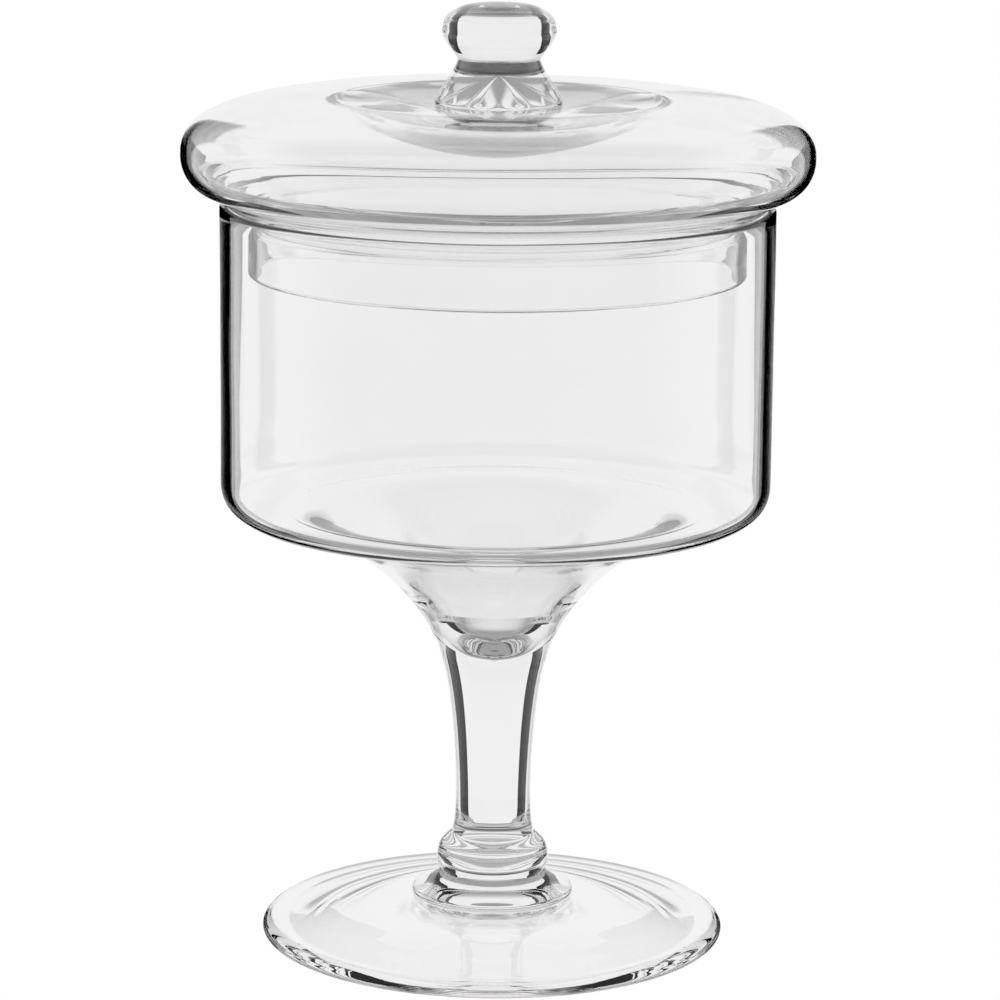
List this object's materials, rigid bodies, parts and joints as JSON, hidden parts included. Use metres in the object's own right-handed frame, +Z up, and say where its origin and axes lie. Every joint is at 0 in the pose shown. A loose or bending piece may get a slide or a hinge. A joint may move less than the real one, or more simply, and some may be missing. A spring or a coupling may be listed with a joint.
{
  "type": "footed apothecary jar",
  "caption": "Footed jar in clear blown glass: cylindrical bowl on a solid stem and round foot, with a lift-off lid that has a hollow brim, a locating neck and a knob.",
  "frame": {"origin": "centre of the resting ring under the foot, on the surface the jar stands on", "axes": "+Z up along the axis of the jar; the jar is round, so X and Y are any two level directions"},
  "size_m": [0.166, 0.166, 0.251],
  "materials": {
    "foot_glass": "clear, fire-polished",
    "collar_glass": "clear, fire-polished",
    "knop_glass": "clear, fire-polished",
    "stem_glass": "clear, fire-polished",
    "bowl_glass": "clear, fire-polished, faintly wavy",
    "lid_glass": "clear, fire-polished, faintly wavy",
    "flange_glass": "clear, cut and ground edge",
    "knob_base_glass": "clear, fluted underneath",
    "knob_glass": "clear, fire-polished"
  },
  "bodies": {
    "base": {"foot": "foot_glass", "foot_collar": "collar_glass", "stem_knop": "knop_glass", "stem": "stem_glass", "bowl": "bowl_glass"},
    "lid": {"lid_shell": "lid_glass", "lid_flange": "flange_glass", "knob_base": "knob_base_glass", "knob": "knob_glass"}
  },
  "joints": [
    {"name": "lid_lift", "type": "slide", "parent": "base", "child": "lid", "axis": [0, 0, 1], "range_m": [0, 0.16]}
  ]
}
